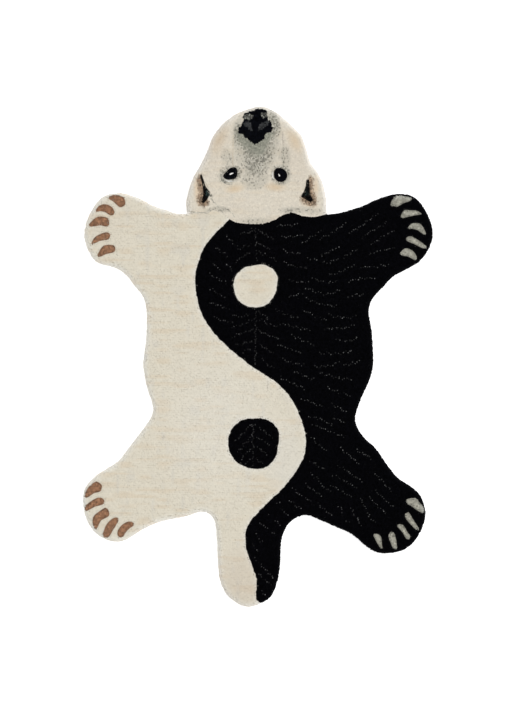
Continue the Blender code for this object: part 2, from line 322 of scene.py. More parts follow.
# Yarns, as seen in daylight: red, green and blue from 0 to 255, and how much a tuft varies
Yarn = namedtuple("Yarn", "red green blue vary")
CREAM = Yarn(219, 212, 195, 0.007)
HEAD_CREAM = Yarn(219.5, 211.5, 196, 0.018)
PALE_CREAM = Yarn(229, 226, 217, 0.012)
WARM = Yarn(214, 200, 177, 0.02)
COOL = Yarn(207, 203, 193, 0.02)
BLACK = Yarn(4, 4, 6, 0.25)
DASH_GREY = Yarn(58, 58, 58, 0.36)
SPINE_GREY = Yarn(44, 44, 44, 0.38)
BROWN_CLAW = Yarn(143, 105, 79, 0.09)
GREY_CLAW = Yarn(156, 154, 142, 0.08)
NOSE_BLACK = Yarn(8, 9, 13, 0.25)
NOSE_GREY = Yarn(54, 55, 56, 0.15)
NOSTRIL = Yarn(81, 81, 76, 0.45)
OLIVE = Yarn(144, 144, 131, 0.07)
GREY_MIX = Yarn(148, 146, 134, 0.05)
DARK_FLECK = Yarn(98, 96, 88, 0.22)
PALE_FLECK = Yarn(212, 207, 195, 0.03)
TAN = Yarn(214, 190, 157, 0.02)
DUSKY_TAN = Yarn(204, 184, 157, 0.02)
# Painted shade: a dimmer cream, laid in broad soft patches
PAINTED_SHADE_CREAM = Yarn(196, 181, 164, 0.02)
EAR_TAN = Yarn(222, 198, 168, 0.03)
EAR_BROWN = Yarn(141, 121, 101, 0.17)
EAR_DARK = Yarn(14, 13, 13, 0.40)
EAR_GREEN = Yarn(36, 46, 45, 0.30)
EYE_WHITE = Yarn(226, 224, 219, 0.02)
EYE_SHADE = Yarn(212, 210, 203, 0.03)
GLINT = Yarn(236, 234, 230, 0.02)
SEAM_SHADE = Yarn(184, 179, 166, 0.08)
DARK_YARN = 75              # yarns below this are dyed black or nearly so

# Faint streaks in the cream wool: they show where the noise is over a level, up to a share
Streak = namedtuple("Streak", "yarn length width level gain most")
STREAKS = (Streak(WARM, 34.0, 6.0, 0.58, 2.2, 0.60), Streak(COOL, 9.0, 24.0, 0.70, 1.7, 0.40))
VARY_LIMITS = (0.3, 1.9)    # of a tuft's brightness, as a share of its yarn's

# Soft patches of shade in the wool: ellipses, turned anticlockwise
Patch = namedtuple("Patch", "name across up half_width half_height degrees yarn share soft")
COAT_TINTS = (
    Patch("belly", -70, -125, 130, 180, 0, PALE_CREAM, 0.30, 0.7),
    Patch("hip", 50, -185, 45, 85, 0, PALE_CREAM, 0.32, 0.6),
    Patch("inside the hip", 50, -185, 45, 85, 0, COOL, 0.22, 0.6),
    # painted shade on the tail and the left front paw
    Patch("tail", -30, -405, 60, 75, 0, PAINTED_SHADE_CREAM, 0.30, 0.7),
    Patch("left front paw", -275, 250, 70, 70, 0, PAINTED_SHADE_CREAM, 0.10, 0.7),
)
FACE_TINTS = (
    # painted shade on both jaws
    Patch("left jaw", -75, 378, 36, 66, -22, PAINTED_SHADE_CREAM, 0.13, 0.7),
    Patch("right jaw", 66, 358, 34, 58, 15, PAINTED_SHADE_CREAM, 0.16, 0.7),
    Patch("left cheek", -70, 390, 15, 34, -30, DUSKY_TAN, 0.70, 1.0),
    Patch("left brow", -42, 301, 22, 9, 8, TAN, 0.80, 1.0),
    Patch("right cheek", 66, 388, 15, 30, 28, TAN, 0.62, 1.0),
    Patch("right brow", 31, 304, 24, 10, -4, TAN, 0.75, 1.0),
    Patch("right ear rim", 103, 303, 8, 30, -4, EAR_TAN, 0.55, 0.8),
    Patch("left ear rim", -109, 298, 8, 34, 3, EAR_TAN, 0.70, 0.8),
    Patch("right ear foot", 92, 274, 20, 8, -10, EAR_TAN, 0.50, 0.7),
    Patch("left eye white", -54, 317, 13, 5, -8, EYE_WHITE, 0.6, 0.5),
    Patch("right eye white", 27, 325, 3.5, 10, 5, EYE_WHITE, 0.5, 0.5),
)
# The grey of the muzzle and round the eyes, where darker and paler flecks are mixed in
FACE_GREYS = (
    Patch("muzzle", -1, 396, 47, 56, 0, GREY_MIX, 0.42, 0.42),
    Patch("muzzle right", 28, 420, 13, 26, 18, GREY_MIX, 0.72, 0.6),
    Patch("muzzle left", -37, 402, 10, 30, -8, GREY_MIX, 0.62, 0.7),
    Patch("bridge", -3, 357, 25, 34, 0, GREY_MIX, 0.48, 0.45),
    Patch("bridge wings", -3, 360, 52, 36, 0, GREY_MIX, 0.23, 0.35),
    Patch("brow", -6, 322, 28, 27, 0, GREY_MIX, 0.27, 0.35),
    Patch("left eye ring", -50, 327, 24, 18, 20, GREY_MIX, 0.50, 0.30),
    Patch("right eye ring", 41, 326, 20, 21, 0, GREY_MIX, 0.50, 0.28),
    Patch("left whisker", -56, 358, 11, 20, 10, GREY_MIX, 0.22, 0.5),
    Patch("right whisker", 49, 360, 12, 24, 8, GREY_MIX, 0.29, 0.5),
    Patch("left nape", -66, 265, 20, 7, -8, GREY_MIX, 0.37, 0.7),
    Patch("left ear foot", -88, 262, 14, 5, 14, GREY_MIX, 0.26, 0.7),
    Patch("left ear point", -84, 289, 5, 4, 0, GREY_MIX, 0.55, 0.7),
    Patch("right nape", 92, 263, 34, 8, -8, GREY_MIX, 0.24, 0.7),
    Patch("right neck", 60, 262, 26, 8, 0, GREY_MIX, 0.30, 0.7),
    Patch("neck front", -6, 243, 46, 8, 0, GREY_MIX, 0.26, 0.7),
)
FLECKED_DARK = 0.48         # share of the tufts that are flecked, where the wool is at its greyest
FLECKED_PALE = 0.32
FLECK_FULL = 0.55           # the shade of the greyest wool
FLECK_STRENGTH = (0.10, 0.74)
FLECK_FAINT = 0.45          # share of that strength where the wool is nearly white
# Patches inside the crisp shapes
NOSE_PATCHES = (
    Patch("left nostril", -16.5, 431, 9, 6, 8, NOSTRIL, 1.0, 0.25),
    Patch("right nostril", 11, 433.5, 6.5, 6, 0, NOSTRIL, 1.0, 0.25),
)
EAR_PATCHES = (
    Patch("left ear depth", -90, 293, 4.5, 11, 10, EAR_GREEN, 0.9, 0.4),
    Patch("right ear depth", 88, 292, 5, 9, 0, EAR_GREEN, 0.3, 0.6),
)

# Single rows of tufts in their own yarn
Accent = namedtuple("Accent", "name spots yarn pitch")
FACE_ACCENTS = (
    Accent("left glint", ((-50.5, 327.2), (-44.5, 330)), GLINT, 1.7),
    Accent("right glint", ((37.2, 328), (39, 324.2)), GLINT, 1.7),
    Accent("left crease", ((-44.5, 398), (-45.5, 342)), Yarn(204, 193, 174, 0.03), 2.3),
    Accent("right crease", ((44, 402), (45, 378)), Yarn(200, 190, 176, 0.04), 2.3),
    Accent("right fold", ((45, 376), (46.5, 346)), Yarn(166, 161, 148, 0.14), 2.3),
    Accent("left eye white", ((-59, 317), (-53, 314.6), (-46, 315.2)), EYE_SHADE, 1.9),
    Accent("left eye rim", ((-65, 328), (-65, 316), (-58, 311)), Yarn(152, 150, 140, 0.12), 2.0),
    Accent("left eye lid", ((-58, 310.5), (-46, 310)), Yarn(176, 172, 160, 0.08), 2.3),
    Accent("right eye white", ((27.5, 333), (25.5, 326), (28, 319)), EYE_SHADE, 2.0),
    Accent("cheek seam", ((-86, 285), (-77, 275), (-61, 255), (-51, 247)), SEAM_SHADE, 2.1),
    Accent("neck seam", ((-126, 259), (-93, 258)), SEAM_SHADE, 2.3),
    Accent("ear seam", ((-91, 261), (-77, 263.5)), SEAM_SHADE, 2.2),
    Accent("neck curl", ((-69, 270), (-54, 264), (-46, 257), (-42, 250)), SEAM_SHADE, 3.0),
)

# ---- light, floor and camera
VIEW_HEIGHT_M = 1.2852      # height of the floor strip that fills the frame
VIEW_CENTRE_UP = -0.9
CAMERA_HEIGHT_M = 6.0
SENSOR_MM = 36.0
SKY_STRENGTH = 0.73
SUN_STRENGTH = 1.45
SUN_ANGLE = 38.0            # a wide, soft source
SUN_ELEVATION = 55.0
SUN_BEARING = 22.0          # towards the rug's right and a little up
SUN_AWAY_M = 3.0
FLOOR_SIZE_M = 9.0
FLOOR_DROP_M = 0.0003       # below the rug
FLOOR_GREY = (0.93, 0.93, 0.93)
FLOOR_WHITE = (0.96, 0.96, 0.96)
FLOOR_GLOW = 0.55           # a lit table, so that hardly a shadow shows
# The cut ends fan out over the edge and catch more light there: by their distance in from it,
# the gain of each colour and a haze of loose fibre
RimLift = namedtuple("RimLift", "inset red green blue haze")
RIM_LIFT = (
    RimLift(0, 1.020, 1.040, 1.090, 9), RimLift(3, 1.030, 1.045, 1.085, 5),
    RimLift(5, 1.030, 1.045, 1.075, 2), RimLift(7, 1.025, 1.035, 1.050, 0),
    RimLift(9.5, 1.010, 1.015, 1.025, 0), RimLift(12, 1, 1, 1, 0),
)
LIFT_FROM = 0.20            # shares of the height between which that light comes in
LIFT_FULL = 0.65
PILE_GAIN = 0.935           # reflectance for a seen brightness of 1
RELIEF_M = 0.0004           # of the fibres and threads that the materials show
WHITE = (1.0, 1.0, 1.0, 1.0)

# ---- plane geometry
def clamped(values):
    return np.clip(values, 0.0, 1.0)


def eased(share):
    return share * share * (3.0 - 2.0 * share)


def smooth_curve(knots, step, closed=False):
    """Points about a step apart along a smooth curve through the knots."""
    knots = np.asarray(knots, float)
    before = np.roll(knots, 1, axis=0)
    after = np.roll(knots, -1, axis=0)
    if not closed:
        before[0] = knots[0]
        after[-1] = knots[-1]
    tangents = after - before
    tangents /= np.hypot(*tangents.T)[:, None]
    run = []
    for index in range(len(knots) if closed else len(knots) - 1):
        following = (index + 1) % len(knots)
        start = knots[index]
        end = knots[following]
        reach = np.hypot(*(end - start)) / 3.0
        first = start + tangents[index] * reach
        second = end - tangents[following] * reach
        count = max(1, round(3.0 * reach / step))
        t = (np.arange(count) / count)[:, None]
        run.append(
            start * (1 - t) ** 3 + 3 * first * t * (1 - t) ** 2
            + 3 * second * t ** 2 * (1 - t) + end * t ** 3
        )
    if not closed:
        run.append(knots[-1:])
    return np.vstack(run)


def along(line, pitch, closed=False):
    """Evenly spaced points on a line, and the unit normal to the left of its direction."""
    if closed:
        line = np.vstack([line, line[:1]])
    steps = np.diff(line, axis=0)
    lengths = np.hypot(*steps.T)
    reached = np.concatenate([[0.0], np.cumsum(lengths)])
    count = max(1, round(reached[-1] / pitch))
    places = (np.arange(count) + (0.0 if closed else 0.5)) * reached[-1] / count
    span = np.clip(np.searchsorted(reached, places, side="right") - 1, 0, len(steps) - 1)
    share = (places - reached[span]) / lengths[span]
    points = line[span] + steps[span] * share[:, None]
    normals = np.stack([-steps[span, 1], steps[span, 0]], axis=1) / lengths[span, None]
    return points, normals


def left_normals(line, closed):
    """Unit normals to the left of the line's direction, one at each of its points."""
    ahead = np.roll(line, -1, axis=0) - np.roll(line, 1, axis=0)
    if not closed:
        ahead[0] = line[1] - line[0]
        ahead[-1] = line[-1] - line[-2]
    return np.stack([-ahead[:, 1], ahead[:, 0]], axis=1) / np.hypot(*ahead.T)[:, None]


def turns_left(loop):
    after = np.roll(loop, -1, axis=0)
    return (loop[:, 0] * after[:, 1] - after[:, 0] * loop[:, 1]).sum() > 0.0


def segments(line, closed=False):
    """The two ends of every stretch of a line."""
    line = np.asarray(line, float)
    both = np.hstack([line, np.roll(line, -1, axis=0)])
    return both if closed else both[:-1]


def borders_of(lines):
    """The segments of several lines, each given with whether it is closed."""
    return np.vstack([segments(line, closed) for line, closed in lines])


def distance(points, pieces):
    """Distance from each point to the nearest of the segments, and the unit vector there."""
    starts = pieces[:, :2]
    spans = pieces[:, 2:] - starts
    squared = np.maximum((spans ** 2).sum(axis=1), TINY)
    nearest = np.empty(len(points))
    towards = np.empty((len(points), 2))
    for first in range(0, len(points), CHUNK):
        part = points[first:first + CHUNK]
        offset = part[:, None, :] - starts[None]
        offset -= clamped((offset * spans).sum(axis=2) / squared)[:, :, None] * spans
        far = (offset ** 2).sum(axis=2)
        best = far.argmin(axis=1)
        rows = np.arange(len(part))
        nearest[first:first + CHUNK] = np.sqrt(far[rows, best])
        towards[first:first + CHUNK] = -offset[rows, best]
    return nearest, towards / np.maximum(nearest, TINY)[:, None]


def inside(points, loop):
    """Even-odd test of points against a closed loop."""
    result = np.zeros(len(points), bool)
    near = ((points >= loop.min(axis=0)) & (points <= loop.max(axis=0))).all(axis=1)
    near = np.flatnonzero(near)
    before = np.roll(loop, 1, axis=0)
    rise = loop[:, 1] - before[:, 1]
    rise = np.where(np.abs(rise) < TINY, TINY, rise)
    for first in range(0, len(near), CHUNK):
        index = near[first:first + CHUNK]
        across = points[index, :1]
        up = points[index, 1:]
        crossing = before[:, 0] + (up - before[:, 1]) / rise * (loop[:, 0] - before[:, 0])
        hits = ((loop[:, 1] > up) != (before[:, 1] > up)) & (across < crossing)
        result[index] = hits.sum(axis=1) % 2 == 1
    return result


def in_any(points, loops):
    return np.any([inside(points, loop) for loop in loops], axis=0)


def inset_of(loop, points):
    """Distance in from the closed loop, negative outside it, and the way to it."""
    far, towards = distance(points, segments(loop, closed=True))
    return np.where(inside(points, loop), far, -far), towards


def value_noise(points, length, width, seed):
    """Smooth noise from 0 to 1, with its grain so long across and so wide along the rug."""
    table = np.random.default_rng(seed).random((NOISE_CELLS, NOISE_CELLS))
    place = points / (length, width) + NOISE_SHIFT
    corner = np.floor(place).astype(int)
    across, up = eased(place - corner).T
    left, low = (corner % NOISE_CELLS).T
    right = (left + 1) % NOISE_CELLS
    high = (low + 1) % NOISE_CELLS
    lower = table[left, low] * (1 - across) + table[right, low] * across
    upper = table[left, high] * (1 - across) + table[right, high] * across
    return lower * (1 - up) + upper * up


# ---- outlines from the frame
def widest_loop(node):
    """The node's outline at its widest row, in millimetres, anticlockwise seen from above."""
    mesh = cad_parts[node].data
    level = WIDEST_SHARE * HEIGHTS[node]
    place = {
        vertex.index: (round(vertex.co.x / MM, 3), round(vertex.co.y / MM, 3))
        for vertex in mesh.vertices
        if abs(vertex.co.z / MM - level) < LEVEL_TOLERANCE
    }
    links = {}
    for edge in mesh.edges:
        start, end = (place.get(index) for index in edge.vertices)
        if start and end and start != end:
            links.setdefault(start, set()).add(end)
            links.setdefault(end, set()).add(start)
    loop = [min(links)]
    before = None
    while True:
        ahead = next(spot for spot in sorted(links[loop[-1]]) if spot != before)
        before = loop[-1]
        if ahead == loop[0]:
            break
        loop.append(ahead)
    loop = np.array(loop)
    return loop if turns_left(loop) else loop[::-1]


Outline = namedtuple("Outline", "loop free sewn height")


def outline_of(node, neighbour):
    """A node's outline, split into its free edge and the stretch sewn to its neighbour."""
    corners = widest_loop(node)
    other = segments(widest_loop(neighbour), closed=True)
    held = distance(corners, other)[0] < SEWN_WITHIN
    first = next(i for i in range(len(corners)) if held[i - 1] and not held[i])
    corners = np.roll(corners, 1 - first, axis=0)
    held = np.roll(held, 1 - first)
    last = next(i for i in range(1, len(corners)) if held[i])
    free = smooth_curve(corners[:last + 1], OUTLINE_STEP)
    sewn = smooth_curve(np.vstack([corners[last:], corners[:1]]), OUTLINE_STEP)
    return Outline(np.vstack([free[:-1], sewn[:-1]]), free, sewn, HEIGHTS[node])


def from_free_edge(outline, points):
    return distance(points, segments(outline.free))[0]


def full_height(outline, points):
    """The piece's height, which meets its neighbour's level at the neck seam."""
    rise = eased(clamped(distance(points, segments(outline.sewn))[0] / NECK_RISE))
    return PELT_HEIGHT + (outline.height - PELT_HEIGHT) * rise


def height_over(outline, points, profile):
    """A surface that rolls down at the free edge, with a slow swell inside."""
    inset = from_free_edge(outline, points)
    insets, shares = np.array(profile).T
    turn = 2.0 * math.pi / SWELL_LENGTH
    swell = np.sin(points[:, 0] * turn + SWELL_START)
    swell = swell * np.sin(points[:, 1] * turn / SWELL_STRETCH)
    rolled = full_height(outline, points) * np.interp(inset, insets, shares)
    return rolled + TOP_SWELL * swell * clamped(inset / insets[-1])


# ---- shapes of the drawing
def strayed(line, wander, closed=False):
    """The line with every place on it a little to one side or the other."""
    side = 2.0 * value_noise(line, wander.length, wander.length, WANDER_SEED) - 1.0
    return line + left_normals(line, closed) * (wander.reach * side)[:, None]


def shape(knots):
    return smooth_curve(knots, DRAWING_STEP, closed=True)


def dot_loop(dot):
    bearings = np.radians(np.arange(0, 360, DOT_STEP))
    radii = np.array(dot.radii)
    across = dot.across + radii * np.cos(bearings)
    up = dot.up + radii * np.sin(bearings)
    return strayed(shape(np.stack([across, up], axis=1)), HAND, closed=True)


def stitched(loop, wander=STITCH):
    """A shape's outline as the yarn fills it, stitch by stitch."""
    return strayed(loop, wander, closed=True)


def grown(loop, reach):
    """The closed loop a little further out all round."""
    return loop + left_normals(loop, closed=True) * (-reach if turns_left(loop) else reach)


DIVIDE_LINE = strayed(smooth_curve(np.array(DIVIDE) + (DIVIDE_SHIFT, 0.0), DRAWING_STEP), HAND)
BLACK_SIDE = np.vstack([DIVIDE_LINE, FAR_RIGHT])
WHITE_DOT_LOOP = dot_loop(WHITE_DOT)
BLACK_DOT_LOOP = dot_loop(BLACK_DOT)
LEFT_CLAW_LOOPS = [shape(claw) for claw in LEFT_CLAWS]
RIGHT_CLAW_LOOPS = [grown(shape(claw), PALE_SPREAD) for claw in RIGHT_CLAWS]
LEFT_CLAW_FILL = [stitched(loop) for loop in LEFT_CLAW_LOOPS]
RIGHT_CLAW_FILL = [stitched(loop) for loop in RIGHT_CLAW_LOOPS]
FACE_SHAPES = {name: shape(knots) for name, knots in FACE_OUTLINES.items()}
# The lines where the colour changes, each with whether it is closed
COAT_LINES = [(DIVIDE_LINE, False), (WHITE_DOT_LOOP, True), (BLACK_DOT_LOOP, True)]
CLAW_LINES = [(loop, True) for loop in LEFT_CLAW_LOOPS + RIGHT_CLAW_LOOPS]
FACE_LINES = [(FACE_SHAPES[name], True) for name in NEAT_SHAPES]
COAT_BORDERS = borders_of(COAT_LINES)
CLAW_BORDERS = borders_of(CLAW_LINES)
CREAM_COAT, BLACK_COAT, LEFT_CLAW, RIGHT_CLAW = range(4)


def coat_region(points):
    """Which wool each point of the pelt is tufted in."""
    black = inside(points, BLACK_SIDE) & ~inside(points, WHITE_DOT_LOOP)
    black |= inside(points, BLACK_DOT_LOOP)
    region = np.where(black, BLACK_COAT, CREAM_COAT)
    region[in_any(points, LEFT_CLAW_FILL)] = LEFT_CLAW
    region[in_any(points, RIGHT_CLAW_FILL)] = RIGHT_CLAW
    return region


# ---- yarn colours, tuft by tuft
def seen(yarn):
    return np.array(yarn[:3], float)


def mix(colours, yarn, share):
    share = share[:, None]
    return colours * (1.0 - share) + seen(yarn) * share


def vary(colours, amount, random):
    spread = random.normal(0.0, 1.0, len(colours)) * amount
    return colours * np.clip(1.0 + spread, *VARY_LIMITS)[:, None]


def dyed(yarn, count, random):
    """So many tufts of one yarn, each a little lighter or darker."""
    return vary(np.tile(seen(yarn), (count, 1)), yarn.vary, random)


def cream_melange(points, base, seed, streaks=1.0):
    """Cream wool with faint streaks of warmer and cooler yarn."""
    colours = np.tile(seen(base), (len(points), 1))
    for order, streak in enumerate(STREAKS):
        noise = value_noise(points, streak.length, streak.width, seed + order)
        share = np.clip((noise - streak.level) * streak.gain, 0.0, streak.most)
        colours = mix(colours, streak.yarn, streaks * share)
    return colours


def patch_share(patch, points):
    """How much of the wool a patch takes at each point."""
    turn = math.radians(patch.degrees)
    offset = points - (patch.across, patch.up)
    across = offset[:, 0] * math.cos(turn) + offset[:, 1] * math.sin(turn)
    up = offset[:, 1] * math.cos(turn) - offset[:, 0] * math.sin(turn)
    out = np.hypot(across / patch.half_width, up / patch.half_height)
    return patch.share * clamped((1.0 - out) / patch.soft)


def tinted(colours, points, patches):
    for patch in patches:
        colours = mix(colours, patch.yarn, patch_share(patch, points))
    return colours


def strewn(patch, points, random):
    """Which tufts a patch takes, more of them towards its middle."""
    return random.random(len(points)) < patch_share(patch, points)


def paint(colours, chosen, yarn, random):
    colours[chosen] = dyed(yarn, chosen.sum(), random)


def coat_colours(points, random):
    region = coat_region(points)
    near = distance(points, COAT_BORDERS)[0]
    colours = cream_melange(points, CREAM, COAT_STREAK_SEED)
    # Painted light on the cream along its borders with the black
    colours = mix(colours, PALE_CREAM, BORDER_PAINTED_LIGHT * clamped(1.0 - near / BORDER_PAINTED_LIGHT_WIDTH))
    colours = vary(tinted(colours, points, COAT_TINTS), CREAM.vary, random)
    paint(colours, region == BLACK_COAT, BLACK, random)
    paint(colours, region == LEFT_CLAW, BROWN_CLAW, random)
    paint(colours, region == RIGHT_CLAW, GREY_CLAW, random)
    claws = (region == LEFT_CLAW) | (region == RIGHT_CLAW)
    rim = distance(points[claws], CLAW_BORDERS)[0] < CLAW_RIM
    colours[claws] *= np.where(rim, CLAW_RIM_SHADE, 1.0)[:, None]
    return colours


def fleck(colours, grey, random):
    """Flecks of darker and paler yarn, more of them where the wool is greyer."""
    strength = random.uniform(*FLECK_STRENGTH, len(colours))
    share = clamped(grey / FLECK_FULL)
    strength *= FLECK_FAINT + (1.0 - FLECK_FAINT) * share
    pick = random.random(len(colours))
    colours = mix(colours, DARK_FLECK, np.where(pick < FLECKED_DARK * share, strength, 0.0))
    return mix(colours, PALE_FLECK, np.where(pick > 1.0 - FLECKED_PALE * share, strength, 0.0))


def soak(colours, points, loop, yarn, fade, random):
    """Yarn that is at its fullest in the middle of a shape and thins out towards its border."""
    depth = inset_of(loop, points)[0]
    share = clamped(0.5 + depth / fade + random.normal(0.0, SOAK_SPREAD, len(points)))
    share[depth < -0.5 * fade] = 0.0
    share = share[:, None]
    return colours * (1.0 - share) + dyed(yarn, len(points), random) * share


def head_colours(points, random):
    colours = cream_melange(points, HEAD_CREAM, FACE_STREAK_SEED, streaks=0.5)
    colours = tinted(vary(colours, HEAD_CREAM.vary, random), points, FACE_TINTS + FACE_GREYS)
    clear = np.prod([1.0 - patch_share(patch, points) for patch in FACE_GREYS], axis=0)
    colours = fleck(colours, 1.0 - clear, random)
    colours = soak(colours, points, FACE_SHAPES["under_nose"], OLIVE, UNDER_NOSE_FADE, random)
    for ear in ("left_ear", "right_ear"):
        colours = soak(colours, points, FACE_SHAPES[ear], EAR_BROWN, EAR_FADE, random)
    nose = inside(points, stitched(FACE_SHAPES["nose"], SHAGGY))
    slits = in_any(points, [FACE_SHAPES["left_slit"], FACE_SHAPES["right_slit"]])
    paint(colours, nose, NOSE_BLACK, random)
    for shine in ("left_shine", "right_shine"):
        paint(colours, inside(points, FACE_SHAPES[shine]), NOSE_GREY, random)
    for patch in NOSE_PATCHES:
        paint(colours, strewn(patch, points, random) & nose, patch.yarn, random)
    for eye in ("left_eye", "right_eye"):
        paint(colours, inside(points, FACE_SHAPES[eye]), NOSE_BLACK, random)
    for slit in ("left_slit", "right_slit"):
        paint(colours, inside(points, FACE_SHAPES[slit]), EAR_DARK, random)
    for patch in EAR_PATCHES:
        paint(colours, strewn(patch, points, random) & slits, patch.yarn, random)
    return colours


# ---- laying the dashes
def dash_line(row):
    dash = Dash(*row)
    start = np.array([dash.across, dash.up], float)
    end = np.array([dash.end_across, dash.end_up], float)
    middle = 0.5 * (start + end) + (0.0, dash.rise)
    return smooth_curve([start, middle, end], DRAWING_STEP)


def dotted(line, pitch, random):
    """Places along a line, unevenly spaced and swaying a little."""
    points, normals = along(line, pitch)
    start = random.uniform(0.0, DASH_WAVE_LENGTH)
    phase = (start + np.arange(len(points)) * pitch) * 2.0 * math.pi / DASH_WAVE_LENGTH
    points = points + normals * (DASH_WAVE * np.sin(phase))[:, None]
    return points + random.normal(0.0, DASH_JITTER, points.shape)


def dash_tufts(outline, random):
    """The places of the light tufts, all of them well inside the black, and their yarns."""
    borders = np.vstack([COAT_BORDERS, CLAW_BORDERS])
    places = []
    colours = []
    for dashes, yarn, pitch in (
        (SPINE, SPINE_GREY, SPINE_DOT),
        (SPINE_DASHES, SPINE_GREY, SPINE_DOT),
        (DASHES, DASH_GREY, DASH_DOT),
    ):
        points = np.vstack([dotted(dash_line(dash), pitch, random) for dash in dashes])
        roomy = coat_region(points) == BLACK_COAT
        roomy &= distance(points, borders)[0] > DASH_CLEAR
        roomy &= inset_of(outline.loop, points)[0] > DASH_CLEAR
        points = thin_out(points[roomy], 2.0 * DASH_RADIUS)
        places.append(points)
        colours.append(dyed(yarn, len(points), random))
    return np.vstack(places), np.vstack(colours)


# ---- laying the tufts
Tufts = namedtuple("Tufts", "tip lean radius colour")
PlacedRow = namedtuple("PlacedRow", "points colours radius")


def down_the_edge(outline, kind):
    """Rows of tips evenly spaced over the free edge's section."""
    table = np.array(FREE_EDGE)
    runs = np.hypot(np.diff(table[:, 0]), np.diff(table[:, 1]) * outline.height)
    reached = np.concatenate([[0.0], np.cumsum(runs)])
    count = round(reached[-1] / (EDGE_SPACING * kind.row))
    places = np.linspace(0.0, reached[-1], count + 1)
    columns = [np.interp(places, reached, column) for column in table.T]
    return [EdgeTufts(*row) for row in zip(*columns)]


def edge_rows(outline, kind, random):
    """Tips and leans of the rows that fan out over the free edge, and those at the seam."""
    tips = []
    leans = []
    whole = segments(outline.loop, closed=True)
    for line, table in ((outline.free, down_the_edge(outline, kind)), (outline.sewn, SEWN_EDGE)):
        for order, row in enumerate(table):
            points, inward = along(line, kind.pitch * EDGE_PITCH)
            if order % 2:
                points = 0.5 * (points[:-1] + points[1:])
                inward = inward[:-1]
            points = points + inward * row.inset
            fits = distance(points, whole)[0] > row.inset * EDGE_DROP
            inward = inward[fits]
            points = points[fits]
            wander = np.abs(random.normal(0.0, EDGE_UNEVEN, len(points)))
            points = points + inward * wander[:, None]
            level = row.share * full_height(outline, points)
            level += random.normal(0.0, EDGE_UNEVEN, len(points)) * (row.lean > 0)
            tips.append(np.column_stack([points, level]))
            lean = -inward * row.lean
            leans.append(lean + random.normal(0.0, EDGE_LEAN_SPREAD, lean.shape) * (row.lean > 0))
    return np.vstack(tips), np.vstack(leans)


def border_rows(lines, offset, pitch):
    """A row of places on each side of every line where the colour changes."""
    rows = []
    for line, closed in lines:
        points, normals = along(line, pitch, closed)
        rows += [points + normals * offset, points - normals * offset]
    return np.vstack(rows)


def grid_of(across, up):
    return np.stack([across.ravel(), up.ravel()], axis=1)


def filling(outline, kind, random):
    """Staggered rows over the whole piece, a little uneven, as a hand lays them."""
    left, low = outline.loop.min(axis=0)
    right, high = outline.loop.max(axis=0)
    columns = int((right - left) / kind.pitch) + 2
    rows = int((high - low) / kind.row) + 2
    column, row = np.meshgrid(np.arange(columns), np.arange(rows))
    across = left + (column + 0.5 * (row % 2)) * kind.pitch
    points = grid_of(across, low + row * kind.row)
    points[:, 1] += ROW_SWAY * (value_noise(points, SWAY_LENGTH, SWAY_WIDTH, SWAY_SEED) - 0.5)
    return points + random.normal(0.0, JITTER * kind.pitch, points.shape)


def margin(table, kind):
    return table[-1].inset + FIELD_KEEP * kind.row


def thin_out(points, gap):
    """Drops the later of any two places that are closer than the gap."""
    cells = {}
    kept = []
    for index, (across, up) in enumerate(points):
        column = int(across // gap)
        row = int(up // gap)
        near = (
            points[other]
            for i in (-1, 0, 1)
            for j in (-1, 0, 1)
            for other in cells.get((column + i, row + j), ())
        )
        if all(math.hypot(across - other[0], up - other[1]) >= gap for other in near):
            cells.setdefault((column, row), []).append(index)
            kept.append(index)
    return points[kept]


def holes(outline, kind, places):
    """Places for extra tufts, wherever the laid rows leave the foot of the pile bare."""
    tree = KDTree(len(places))
    for index, (across, up) in enumerate(places):
        tree.insert((across, up, 0.0), index)
    tree.balance()
    left, low = outline.loop.min(axis=0)
    right, high = outline.loop.max(axis=0)
    tried = grid_of(*np.meshgrid(
        np.arange(left, right, HOLE_STEP), np.arange(low, high, HOLE_STEP)
    ))
    tried = tried[inside(tried, outline.loop)]
    gap = HOLE_REACH * kind.pitch
    far = np.array([tree.find((across, up, 0.0))[2] for across, up in tried])
    bare = far > gap
    order = np.argsort(-far[bare], kind="stable")
    return thin_out(tried[bare][order], gap)


def rim_lit(colours, tips, outline):
    """The colours with the light that the cut ends catch where they fan out over the edge."""
    insets, *columns = np.array(RIM_LIFT).T
    out = from_free_edge(outline, tips[:, :2])
    red, green, blue, haze = (np.interp(out, insets, column) for column in columns)
    share = tips[:, 2] / full_height(outline, tips[:, :2])
    lit = clamped((share - LIFT_FROM) / (LIFT_FULL - LIFT_FROM))[:, None]
    bright = colours * np.stack([red, green, blue], axis=1) + haze[:, None]
    return colours + (bright - colours) * lit


def inner_places(outline, kind, lines, drawn, accent_points, random):
    """Places clear of the edges: the accents, rows along colour changes, and the filling."""
    borders = border_rows(lines, kind.border, kind.pitch)
    borders = borders[distance(borders, drawn)[0] > kind.border * EDGE_DROP]
    borders = thin_out(borders, BORDER_THIN * kind.pitch)
    keep = FIELD_KEEP * kind.pitch
    stubs = np.hstack([accent_points, accent_points + STUB])
    fill = filling(outline, kind, random)
    fill = fill[distance(fill, drawn)[0] > kind.border + keep * BORDER_KEEP]
    fill = fill[distance(fill, stubs)[0] > keep]
    inner = np.vstack([borders, fill])
    clear = inset_of(outline.loop, inner)[0] > margin(SEWN_EDGE, kind)
    clear &= from_free_edge(outline, inner) > margin(FREE_EDGE, kind)
    return np.vstack([accent_points, inner[clear]])


def stand_up(outline, places, drawn, random):
    """Tips and leans of the tufts at the inner places."""
    inset, towards = inset_of(outline.loop, places)
    lean = towards * OUTWARD_LEAN * clamped(1.0 - inset / OUTWARD_FADE)[:, None]
    lean += random.normal(0.0, RANDOM_LEAN, lean.shape)
    carve = clamped(1.0 - distance(places, drawn)[0] / CARVE_WIDTH)
    level = height_over(outline, places, PILE_PROFILE)
    level += random.normal(0.0, RANDOM_HEIGHT, len(places)) - BORDER_CARVE * carve
    return np.column_stack([places, level]), lean


